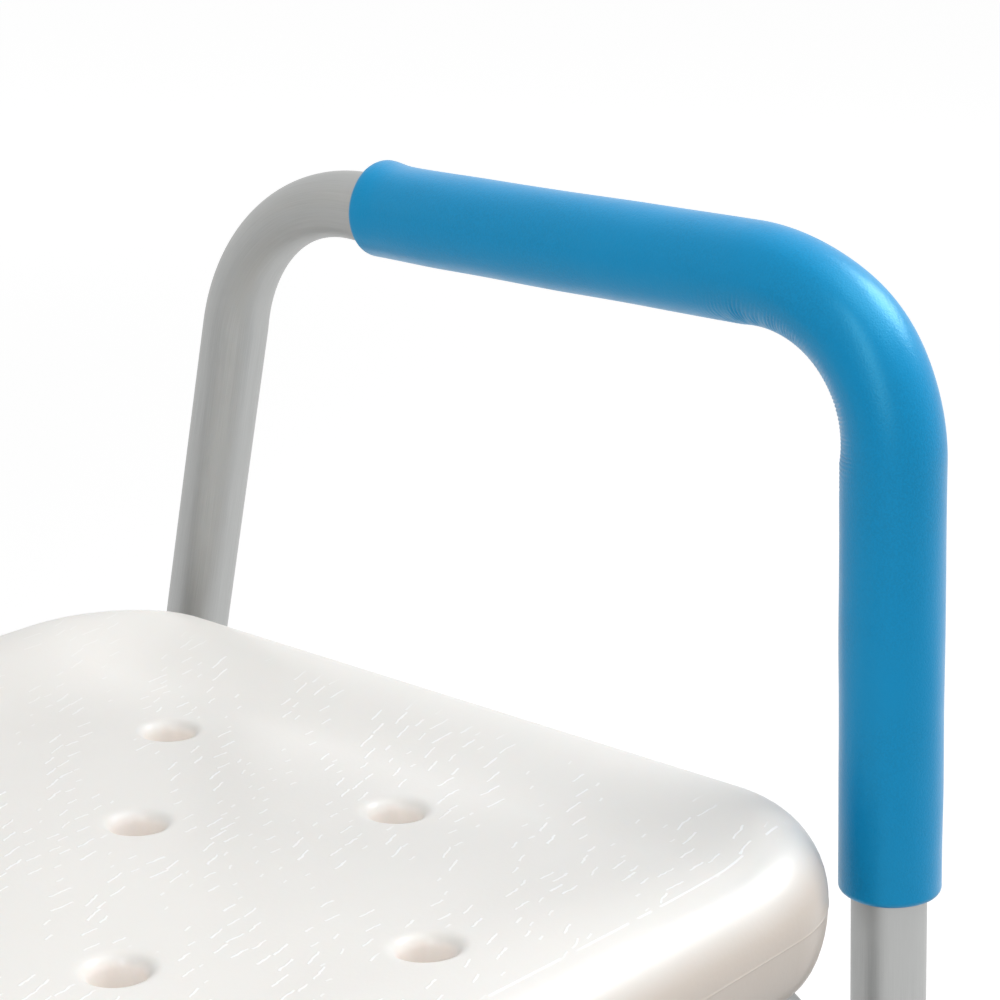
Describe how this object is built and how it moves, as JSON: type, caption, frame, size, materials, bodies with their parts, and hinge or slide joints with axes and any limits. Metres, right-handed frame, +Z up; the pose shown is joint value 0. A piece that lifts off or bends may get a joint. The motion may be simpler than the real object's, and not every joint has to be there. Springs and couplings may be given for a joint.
{
  "type": "bath chair",
  "caption": "Bath chair with a perforated moulded seat, a lift-off back, bent tube arms with foam grips and telescoping splayed legs on rubber tips.",
  "frame": {"origin": "on the floor, midway between the feet from side to side and from front to rear", "axes": "+Z up, +X to the sitter's left, -Y to the front"},
  "size_m": [0.546, 0.4775, 0.7829],
  "materials": {
    "white_moulding": "satin, lightly embossed",
    "anodised_aluminium": "satin anodised",
    "blue_foam": "closed-cell foam with a smooth skin",
    "grey_nylon": "moulded, satin",
    "grey_rubber": "matt",
    "bright_steel": "bright zinc plated",
    "spring_steel": "plain"
  },
  "bodies": {
    "frame": {"seat": "white_moulding", "front_leg_frame": "anodised_aluminium", "rear_leg_frame": "anodised_aluminium", "seat_screw_front_left": "bright_steel", "leg_button_spring_front_left": "spring_steel", "arm_spacer_front_left": "grey_nylon", "arm_bolt_front_left": "bright_steel", "arm_nut_front_left": "bright_steel", "arm_cap_front_left": "grey_nylon", "seat_screw_front_right": "bright_steel", "leg_button_spring_front_right": "spring_steel", "arm_spacer_front_right": "grey_nylon", "arm_bolt_front_right": "bright_steel", "arm_nut_front_right": "bright_steel", "arm_cap_front_right": "grey_nylon", "seat_screw_rear_left": "bright_steel", "leg_button_spring_rear_left": "spring_steel", "arm_spacer_rear_left": "grey_nylon", "arm_bolt_rear_left": "bright_steel", "arm_nut_rear_left": "bright_steel", "arm_cap_rear_left": "grey_nylon", "seat_screw_rear_right": "bright_steel", "leg_button_spring_rear_right": "spring_steel", "arm_spacer_rear_right": "grey_nylon", "arm_bolt_rear_right": "bright_steel", "arm_nut_rear_right": "bright_steel", "arm_cap_rear_right": "grey_nylon", "arm_tube_left": "anodised_aluminium", "arm_grip_left": "blue_foam", "back_socket_left": "grey_nylon", "arm_tube_right": "anodised_aluminium", "arm_grip_right": "blue_foam", "back_socket_right": "grey_nylon"},
    "leg_front_left": {"leg_extension_front_left": "anodised_aluminium", "leg_collar_front_left": "grey_nylon", "rubber_tip_front_left": "grey_rubber"},
    "leg_button_front_left": {"leg_button_front_left": "bright_steel"},
    "leg_front_right": {"leg_extension_front_right": "anodised_aluminium", "leg_collar_front_right": "grey_nylon", "rubber_tip_front_right": "grey_rubber"},
    "leg_button_front_right": {"leg_button_front_right": "bright_steel"},
    "leg_rear_left": {"leg_extension_rear_left": "anodised_aluminium", "leg_collar_rear_left": "grey_nylon", "rubber_tip_rear_left": "grey_rubber"},
    "leg_button_rear_left": {"leg_button_rear_left": "bright_steel"},
    "leg_rear_right": {"leg_extension_rear_right": "anodised_aluminium", "leg_collar_rear_right": "grey_nylon", "rubber_tip_rear_right": "grey_rubber"},
    "leg_button_rear_right": {"leg_button_rear_right": "bright_steel"},
    "backrest": {"back_panel": "white_moulding", "back_tube_left": "anodised_aluminium", "panel_screw_left": "bright_steel", "back_button_spring_left": "spring_steel", "back_tube_right": "anodised_aluminium", "panel_screw_right": "bright_steel", "back_button_spring_right": "spring_steel"},
    "back_button_left": {"back_button_left": "bright_steel"},
    "back_button_right": {"back_button_right": "bright_steel"}
  },
  "joints": [
    {"name": "leg_slide_front_left", "type": "slide", "parent": "frame", "child": "leg_front_left", "axis": [0.1389, -0.058, -0.9886], "range_m": [0, 0.1524]},
    {"name": "leg_button_press_front_left", "type": "slide", "parent": "frame", "child": "leg_button_front_left", "axis": [-0.9903, -0.0081, -0.1387], "range_m": [0, 0.0055], "stiffness_N_per_m": 1200, "springref_m": -0.002, "deforming": ["leg_button_spring_front_left"]},
    {"name": "leg_slide_front_right", "type": "slide", "parent": "frame", "child": "leg_front_right", "axis": [-0.1389, -0.058, -0.9886], "range_m": [0, 0.1524]},
    {"name": "leg_button_press_front_right", "type": "slide", "parent": "frame", "child": "leg_button_front_right", "axis": [0.9903, -0.0081, -0.1387], "range_m": [0, 0.0055], "stiffness_N_per_m": 1200, "springref_m": -0.002, "deforming": ["leg_button_spring_front_right"]},
    {"name": "leg_slide_rear_left", "type": "slide", "parent": "frame", "child": "leg_rear_left", "axis": [0.1356, 0.2254, -0.9648], "range_m": [0, 0.1524]},
    {"name": "leg_button_press_rear_left", "type": "slide", "parent": "frame", "child": "leg_button_rear_left", "axis": [-0.9908, 0.0308, -0.132], "range_m": [0, 0.0055], "stiffness_N_per_m": 1200, "springref_m": -0.002, "deforming": ["leg_button_spring_rear_left"]},
    {"name": "leg_slide_rear_right", "type": "slide", "parent": "frame", "child": "leg_rear_right", "axis": [-0.1356, 0.2254, -0.9648], "range_m": [0, 0.1524]},
    {"name": "leg_button_press_rear_right", "type": "slide", "parent": "frame", "child": "leg_button_rear_right", "axis": [0.9908, 0.0308, -0.132], "range_m": [0, 0.0055], "stiffness_N_per_m": 1200, "springref_m": -0.002, "deforming": ["leg_button_spring_rear_right"]},
    {"name": "back_lift", "type": "slide", "parent": "frame", "child": "backrest", "axis": [0, 0, 1], "range_m": [0, 0.12]},
    {"name": "back_button_press_left", "type": "slide", "parent": "backrest", "child": "back_button_left", "axis": [0, -1, 0], "range_m": [0, 0.0062], "stiffness_N_per_m": 1200, "springref_m": -0.002, "deforming": ["back_button_spring_left"]},
    {"name": "back_button_press_right", "type": "slide", "parent": "backrest", "child": "back_button_right", "axis": [0, -1, 0], "range_m": [0, 0.0062], "stiffness_N_per_m": 1200, "springref_m": -0.002, "deforming": ["back_button_spring_right"]}
  ]
}
